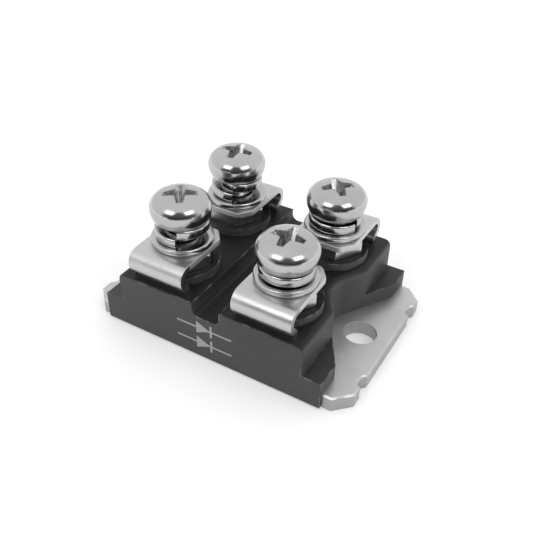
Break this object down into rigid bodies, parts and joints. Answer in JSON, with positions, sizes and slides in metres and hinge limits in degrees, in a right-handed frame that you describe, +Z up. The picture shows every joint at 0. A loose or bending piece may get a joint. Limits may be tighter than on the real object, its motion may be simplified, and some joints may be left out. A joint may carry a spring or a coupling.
{
  "type": "diode module",
  "caption": "Power diode module: low moulded black housing on a nickel-plated plate, with folded screw terminals, hex nuts, washers and pan-head screws on top.",
  "frame": {"origin": "centre of the mounting face on the underside of the plate", "axes": "+X along the plate's length, +Y across the housing, +Z up towards the terminal screws"},
  "size_m": [0.0382, 0.0252, 0.019],
  "materials": {
    "plate_nickel": "satin nickel plating on copper",
    "moulded_black": "fine matt moulded surface",
    "solder": "dull solder",
    "copper": "bare copper",
    "alumina": "white unglazed ceramic",
    "terminal_nickel": "satin nickel plating",
    "silicon_carbide": "polished die",
    "bond_aluminium": "rolled aluminium ribbon",
    "silicone_gel": "soft clear gel",
    "nut_nickel": "bright nickel plating",
    "washer_nickel": "bright nickel plating",
    "spring_nickel": "bright nickel plating",
    "screw_nickel": "bright nickel plating"
  },
  "bodies": {
    "root": {"baseplate": "plate_nickel", "housing": "moulded_black", "substrate_solder": "solder", "substrate_bottom_copper": "copper", "ceramic_substrate": "alumina", "copper_pad_front_left": "copper", "terminal_front_left": "terminal_nickel", "copper_pad_front_right": "copper", "terminal_front_right": "terminal_nickel", "copper_pad_rear_left": "copper", "terminal_rear_left": "terminal_nickel", "copper_pad_rear_right": "copper", "terminal_rear_right": "terminal_nickel", "diode_die_left": "silicon_carbide", "bond_ribbons_left": "bond_aluminium", "diode_die_right": "silicon_carbide", "bond_ribbons_right": "bond_aluminium", "gel_filling": "silicone_gel", "hex_nuts": "nut_nickel", "flat_washers": "washer_nickel", "split_washers": "spring_nickel", "terminal_screws": "screw_nickel"}
  },
  "joints": []
}
